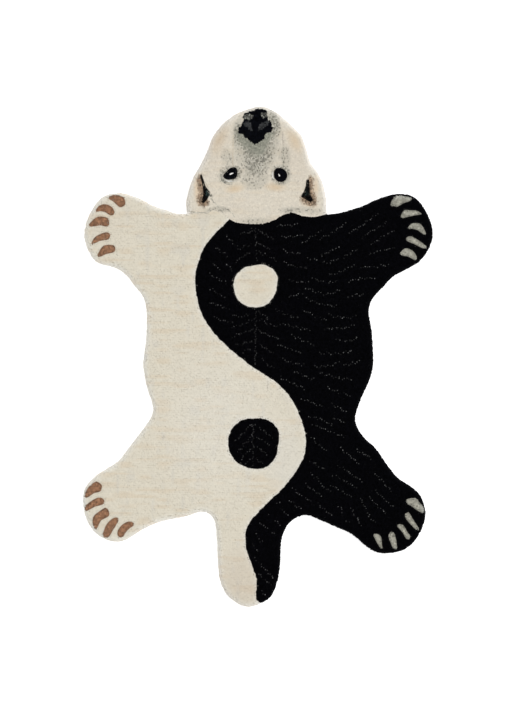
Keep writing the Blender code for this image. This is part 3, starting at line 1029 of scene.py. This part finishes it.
def lay_pile(outline, kind, lines, accents, colours_of, random):
    """All the tufts of one piece: edge rows, rows along colour changes, accents, filling."""
    edge_tips, edge_leans = edge_rows(outline, kind, random)
    drawn = borders_of(lines)
    accent_points = np.vstack([row.points for row in accents])
    places = inner_places(outline, kind, lines, drawn, accent_points, random)
    places = np.vstack([places, holes(outline, kind, np.vstack([edge_tips[:, :2], places]))])
    inner_tips, inner_leans = stand_up(outline, places, drawn, random)
    tips = np.vstack([edge_tips, inner_tips])
    radius = kind.radius * (1.0 + random.normal(0.0, RADIUS_SPREAD, len(tips)))
    radius = np.minimum(radius, BORDER_RADIUS * distance(tips[:, :2], drawn)[0])
    radius = np.maximum(radius, LEAST_RADIUS * kind.radius)
    colours = rim_lit(colours_of(tips[:, :2], random), tips, outline)
    first = len(edge_tips)
    for row in accents:
        own = slice(first, first + len(row.points))
        colours[own] = row.colours
        radius[own] = row.radius
        first += len(row.points)
    return Tufts(tips, np.vstack([edge_leans, inner_leans]), radius, colours)


# ---- meshes of the tufts
def linear(colours):
    """Reflectance for a colour given as seen on a display, from 0 to 255."""
    share = clamped(colours / 255.0)
    low = share / 12.92
    high = ((share + 0.055) / 1.055) ** 2.4
    return PILE_GAIN * np.where(share <= 0.04045, low, high)


def unit(vectors):
    return vectors / np.linalg.norm(vectors, axis=1)[:, None]


def tuft_corners(tufts, kind, random):
    """For every tuft a ring at its root, a ring at its shoulder, and its tip."""
    axis = unit(np.column_stack([tufts.lean, np.ones(len(tufts.tip))]))
    first = unit(np.cross(axis, (0.0, 1.0, 0.0)))
    second = np.cross(axis, first)
    turn = random.uniform(0.0, 2.0 * math.pi, len(axis))[:, None]
    turn = turn + np.arange(TUFT_SIDES) * 2.0 * math.pi / TUFT_SIDES
    around = first[:, None] * np.cos(turn)[..., None] + second[:, None] * np.sin(turn)[..., None]
    around = around * tufts.radius[:, None, None]
    root = (tufts.tip - axis * kind.length)[:, None] + around * ROOT_SHARE
    shoulder = (tufts.tip - axis * kind.dome)[:, None] + around
    corners = np.concatenate([root, shoulder, tufts.tip[:, None]], axis=1)
    corners[..., 2] = np.maximum(corners[..., 2], FLOOR_CLEAR)
    return corners


def tuft_faces():
    """The faces of one tuft: its root, its sides and its domed end."""
    tip = 2 * TUFT_SIDES
    faces = [tuple(reversed(range(TUFT_SIDES)))]
    for side in range(TUFT_SIDES):
        after = (side + 1) % TUFT_SIDES
        faces.append((side, after, TUFT_SIDES + after, TUFT_SIDES + side))
        faces.append((TUFT_SIDES + side, TUFT_SIDES + after, tip))
    return faces


def tuft_mesh(name, tufts, kind, random):
    """One mesh of short, slightly flared yarn ends with domed tips."""
    corners = tuft_corners(tufts, kind, random)
    count, per_tuft = corners.shape[:2]
    faces = tuft_faces()
    shift = (np.arange(count) * per_tuft)[:, None]
    vertex_index = (np.concatenate(faces) + shift).ravel()
    totals = np.tile([len(face) for face in faces], count)
    starts = np.concatenate([[0], np.cumsum(totals)[:-1]])

    mesh = bpy.data.meshes.new(name)
    mesh.vertices.add(count * per_tuft)
    mesh.vertices.foreach_set("co", (corners * MM).astype(np.float32).ravel())
    mesh.loops.add(len(vertex_index))
    mesh.loops.foreach_set("vertex_index", vertex_index.astype(np.int32))
    mesh.polygons.add(len(starts))
    mesh.polygons.foreach_set("loop_start", starts.astype(np.int32))
    mesh.polygons.foreach_set("use_smooth", np.ones(len(starts), bool))
    mesh.update(calc_edges=True)
    mark_shoulders(mesh, per_tuft)

    # Painted shade: each tuft's colour darkens towards its root and a touch at its shoulder
    shade = np.repeat([ROOT_PAINTED_SHADE, RIM_SHADE, 1.0], [TUFT_SIDES, TUFT_SIDES, 1])
    rgb = linear(tufts.colour)[:, None, :] * shade[None, :, None]
    paint_vertices(mesh, rgb.reshape(-1, 3))
    lay_flat_map(mesh)
    return mesh


def mark_shoulders(mesh, per_tuft):
    """A crisp rim round each cut end, so that the ends lie level like clipped wool."""
    ends = np.empty(len(mesh.edges) * 2, np.int32)
    mesh.edges.foreach_get("vertices", ends)
    local = ends.reshape(-1, 2) % per_tuft
    rim = ((local >= TUFT_SIDES) & (local < 2 * TUFT_SIDES)).all(axis=1)
    sharp = mesh.attributes.new("sharp_edge", "BOOLEAN", "EDGE")
    sharp.data.foreach_set("value", rim)


def paint_vertices(mesh, rgb):
    # The tufts' colours, with their painted shade and light
    yarn = mesh.color_attributes.new("yarn", "FLOAT_COLOR", "POINT")
    rgba = np.column_stack([rgb, np.ones(len(rgb))])
    yarn.data.foreach_set("color", rgba.astype(np.float32).ravel())


def lay_flat_map(mesh):
    """A flat map of the piece seen from above."""
    place = np.empty(len(mesh.vertices) * 3, np.float32)
    mesh.vertices.foreach_get("co", place)
    place = place.reshape(-1, 3)[:, :2]
    low = place.min(axis=0)
    size = place.max(axis=0) - low
    corner = np.empty(len(mesh.loops), np.int32)
    mesh.loops.foreach_get("vertex_index", corner)
    flat = (place[corner] - low) / size
    layer = mesh.uv_layers.new(name="OFBake")
    layer.data.foreach_set("uv", flat.astype(np.float32).ravel())


def add_piece(name, mesh, materials):
    piece = bpy.data.objects.new(name, mesh)
    for material in materials:
        mesh.materials.append(material)
    bpy.context.scene.collection.objects.link(piece)
    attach(piece, "root")
    return piece


def tuft_piece(name, tufts, which, kind, material, random):
    """One piece of the pile, made of those tufts that are of its wool."""
    own = Tufts(*(column[which] for column in tufts))
    return add_piece(name, tuft_mesh(name, own, kind, random), [material])


# ---- the foot of the pile
def slab_rings(outline):
    """The slab's wall, ring by ring: drawn in under the pile, but close up to the neck seam."""
    points, inward = along(outline.loop, OUTLINE_STEP, closed=True)
    inward = inward + np.roll(inward, 1, axis=0)
    inward /= np.hypot(*inward.T)[:, None]
    sewn = distance(points, segments(outline.sewn))[0] < LEVEL_TOLERANCE
    height = full_height(outline, points)
    rings = []
    for row in SLAB_WALL:
        inset = np.where(sewn, SEWN_GAP, row.inset)
        share = np.where(sewn, row.share * SLAB_ROLL[-1].share / SLAB_WALL[-1].share, row.share)
        rings.append(np.column_stack([points + inward * inset[:, None], height * share]))
    return rings


def slab_field(outline, lines, kind):
    """Points on the foot's upper side, closer along the lines where the colour changes."""
    left, low = outline.loop.min(axis=0)
    right, high = outline.loop.max(axis=0)
    rows = np.arange(low, high, SLAB_SPACING * SLAB_ROWS)
    across, up = np.meshgrid(np.arange(left, right, SLAB_SPACING), rows)
    across = across + 0.5 * SLAB_SPACING * (np.arange(len(rows)) % 2)[:, None]
    drawn = border_rows(lines, kind.border, 2.0 * kind.pitch)
    field = thin_out(np.vstack([drawn, grid_of(across, up)]), SLAB_THIN * SLAB_SPACING)
    field = field[inside(field, outline.loop)]
    far = distance(field, segments(outline.loop, closed=True))[0]
    field = field[far > SLAB_WALL[-1].inset + SLAB_CLEAR]
    return np.column_stack([field, height_over(outline, field, SLAB_ROLL)])


def slab_mesh(name, rings, field):
    """A closed slab: underside, wall and triangulated upper side."""
    work = bmesh.new()
    loops = [[work.verts.new(point * MM) for point in ring] for ring in rings]
    under = work.faces.new(reversed(loops[0]))
    under.material_index = 1
    count = len(loops[0])
    for lower, upper in zip(loops, loops[1:]):
        for index in range(count):
            after = (index + 1) % count
            work.faces.new((lower[index], lower[after], upper[after], upper[index]))
    flat_points = [Vector(point[:2]) for point in [*rings[-1], *field]]
    rim_edges = [(index, (index + 1) % count) for index in range(count)]
    filled = delaunay_2d_cdt(flat_points, rim_edges, [], 1, WELD)
    top = loops[-1] + [work.verts.new(point * MM) for point in field]
    for triangle in filled[2]:
        work.faces.new([top[filled[3][corner][0]] for corner in triangle])
    bmesh.ops.recalc_face_normals(work, faces=work.faces)
    mesh = bpy.data.meshes.new(name)
    work.to_mesh(mesh)
    work.free()
    mesh.shade_smooth()
    return mesh


def slab_piece(name, outline, lines, colours_of, kind, materials, random):
    """The turned-under backing and the dense foot of the pile, as one closed sheet."""
    mesh = slab_mesh(name, slab_rings(outline), slab_field(outline, lines, kind))
    place = np.array([vertex.co[:2] for vertex in mesh.vertices]) / MM
    # The foot's colour is darkened as painted shade deep in the pile
    paint_vertices(mesh, linear(colours_of(place, random)) * FOOT_PAINTED_SHADE)
    return add_piece(name, mesh, [materials["cream"], materials["backing"]])


# ---- materials
def set_inputs(node, **values):
    """Sets a node's inputs by name, with a low line where a name has a space."""
    for name, value in values.items():
        node.inputs[name.replace("_", " ")].default_value = value


class Surface:
    """A new material with its node tree at hand."""

    def __init__(self, name, roughness, specular):
        self.material = bpy.data.materials.new(name)
        self.material.use_nodes = True
        self.nodes = self.material.node_tree.nodes
        self.shader = self.nodes["Principled BSDF"]
        set_inputs(self.shader, Roughness=roughness, Specular_IOR_Level=specular)
        self.coordinates = self.nodes.new("ShaderNodeTexCoord")

    def link(self, node, output, onto, entry):
        self.material.node_tree.links.new(node.outputs[output], onto.inputs[entry])

    def add(self, kind, **values):
        node = self.nodes.new(kind)
        set_inputs(node, **values)
        return node

    def texture(self, kind, **values):
        node = self.add(kind, **values)
        self.link(self.coordinates, "Object", node, "Vector")
        return node

    def ramp(self, low, high):
        node = self.nodes.new("ShaderNodeValToRGB")
        node.color_ramp.elements[0].color = (*low, 1.0)
        node.color_ramp.elements[1].color = (*high, 1.0)
        self.link(node, "Color", self.shader, "Base Color")
        return node

    def relief(self, node, output, strength):
        bump = self.add("ShaderNodeBump", Strength=strength, Distance=RELIEF_M)
        self.link(node, output, bump, "Height")
        self.link(bump, "Normal", self.shader, "Normal")


def wool_material(name, specular, sheen):
    """Cut wool: each tuft's yarn colour with its painted shade and light, mottled fibre by fibre, soft
    and dull.
    """
    wool = Surface(name, roughness=1.0, specular=specular)
    set_inputs(wool.shader, Sheen_Weight=sheen, Sheen_Roughness=0.6)
    yarn = wool.nodes.new("ShaderNodeVertexColor")
    yarn.layer_name = "yarn"
    fibres = wool.texture("ShaderNodeTexNoise", Scale=1500.0, Detail=3.0)
    mottle = wool.add("ShaderNodeMapRange", To_Min=0.94, To_Max=1.06)
    wool.link(fibres, "Fac", mottle, "Value")
    tint = wool.nodes.new("ShaderNodeMix")
    tint.data_type = "RGBA"
    tint.blend_type = "MULTIPLY"
    set_inputs(tint, Factor=1.0)
    wool.link(yarn, "Color", tint, "A")
    wool.link(mottle, "Result", tint, "B")
    wool.link(tint, "Result", wool.shader, "Base Color")
    strands = wool.texture("ShaderNodeTexNoise", Scale=1600.0, Detail=2.0)
    wool.relief(strands, "Fac", strength=0.35)
    return wool.material


def backing_material():
    """The plain woven cotton underneath."""
    cotton = Surface("cotton_backing", roughness=0.95, specular=0.2)
    weave = cotton.nodes.new("ShaderNodeMath")
    weave.operation = "MAXIMUM"
    for entry, direction in enumerate("XY"):
        threads = cotton.texture("ShaderNodeTexWave", Scale=260.0, Distortion=0.6)
        threads.bands_direction = direction
        cotton.link(threads, "Fac", weave, entry)
    ramp = cotton.ramp((0.42, 0.37, 0.28), (0.62, 0.56, 0.45))
    cotton.link(weave, "Value", ramp, "Fac")
    cotton.relief(weave, "Value", strength=0.5)
    return cotton.material


def floor_material():
    floor = Surface("pale_floor", roughness=0.9, specular=0.1)
    set_inputs(floor.shader, Emission_Color=WHITE, Emission_Strength=FLOOR_GLOW)
    cloud = floor.texture("ShaderNodeTexNoise", Scale=3.0)
    floor.link(cloud, "Fac", floor.ramp(FLOOR_GREY, FLOOR_WHITE), "Fac")
    return floor.material


# ---- stage
def set_camera():
    data = bpy.data.cameras.new("camera")
    data.sensor_width = SENSOR_MM
    reach = CAMERA_HEIGHT_M - WIDEST_SHARE * PELT_HEIGHT * MM
    data.lens = SENSOR_MM * reach / VIEW_HEIGHT_M
    camera = bpy.data.objects.new("camera", data)
    camera.location = (0.0, VIEW_CENTRE_UP * MM, CAMERA_HEIGHT_M)
    bpy.context.scene.collection.objects.link(camera)
    bpy.context.scene.camera = camera


def set_lights():
    world = bpy.data.worlds.new("studio")
    world.use_nodes = True
    sky = world.node_tree.nodes["Background"]
    set_inputs(sky, Color=WHITE, Strength=SKY_STRENGTH)
    bpy.context.scene.world = world
    data = bpy.data.lights.new("softbox", "SUN")
    data.energy = SUN_STRENGTH
    data.angle = math.radians(SUN_ANGLE)
    sun = bpy.data.objects.new("softbox", data)
    elevation = math.radians(SUN_ELEVATION)
    bearing = math.radians(SUN_BEARING)
    towards = Vector((
        math.cos(elevation) * math.cos(bearing),
        math.cos(elevation) * math.sin(bearing),
        math.sin(elevation),
    ))
    sun.rotation_euler = towards.to_track_quat("Z", "Y").to_euler()
    sun.location = towards * SUN_AWAY_M
    bpy.context.scene.collection.objects.link(sun)


def set_floor():
    work = bmesh.new()
    bmesh.ops.create_grid(work, x_segments=2, y_segments=2, size=FLOOR_SIZE_M / 2)
    mesh = bpy.data.meshes.new("floor")
    work.to_mesh(mesh)
    work.free()
    mesh.materials.append(floor_material())
    floor = bpy.data.objects.new("floor", mesh)
    floor.location.z = -FLOOR_DROP_M
    bpy.context.scene.collection.objects.link(floor)


# ---- the rug
def accent_row(accent, random):
    points = along(np.array(accent.spots, float), accent.pitch)[0]
    colours = dyed(accent.yarn, len(points), random)
    return PlacedRow(points, colours, HEAD_PILE.radius * ACCENT_RADIUS)


def make_pelt(outline, materials):
    random = np.random.default_rng(PELT_SEED)
    lines = COAT_LINES + CLAW_LINES
    dashes = PlacedRow(*dash_tufts(outline, random), DASH_RADIUS)
    tufts = lay_pile(outline, PELT_PILE, lines, [dashes], coat_colours, random)
    region = coat_region(tufts.tip[:, :2])
    front = tufts.tip[:, 1] > 0.0
    pieces = [
        tuft_piece(name, tufts, which, PELT_PILE, materials[wool], random)
        for name, which, wool in (
            ("cream_coat_front", (region == CREAM_COAT) & front, "cream"),
            ("cream_coat_hind", (region == CREAM_COAT) & ~front, "cream"),
            ("black_coat_front", (region == BLACK_COAT) & front, "black"),
            ("black_coat_hind", (region == BLACK_COAT) & ~front, "black"),
            ("brown_claws", region == LEFT_CLAW, "cream"),
            ("grey_claws", region == RIGHT_CLAW, "cream"),
        )
    ]
    base = slab_piece(
        "pelt_backing", outline, lines, coat_colours, PELT_PILE, materials, random
    )
    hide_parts("pelt")


def make_head(outline, materials):
    random = np.random.default_rng(HEAD_SEED)
    accents = [accent_row(accent, random) for accent in FACE_ACCENTS]
    tufts = lay_pile(outline, HEAD_PILE, FACE_LINES, accents, head_colours, random)
    dark = tufts.colour.max(axis=1) < DARK_YARN
    pieces = [
        tuft_piece(name, tufts, which, HEAD_PILE, materials[wool], random)
        for name, which, wool in (("head_coat", ~dark, "cream"), ("face_black", dark, "black"))
    ]
    base = slab_piece(
        "head_backing", outline, FACE_LINES, head_colours, HEAD_PILE, materials, random
    )
    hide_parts("head")


def main():
    bpy.context.scene.view_settings.view_transform = "Standard"
    set_camera()
    set_lights()
    set_floor()
    materials = {
        "cream": wool_material("cream_wool", specular=0.15, sheen=0.10),
        "black": wool_material("black_wool", specular=0.02, sheen=0.0),
        "backing": backing_material(),
    }
    make_pelt(outline_of("pelt", "head"), materials)
    make_head(outline_of("head", "pelt"), materials)


main()
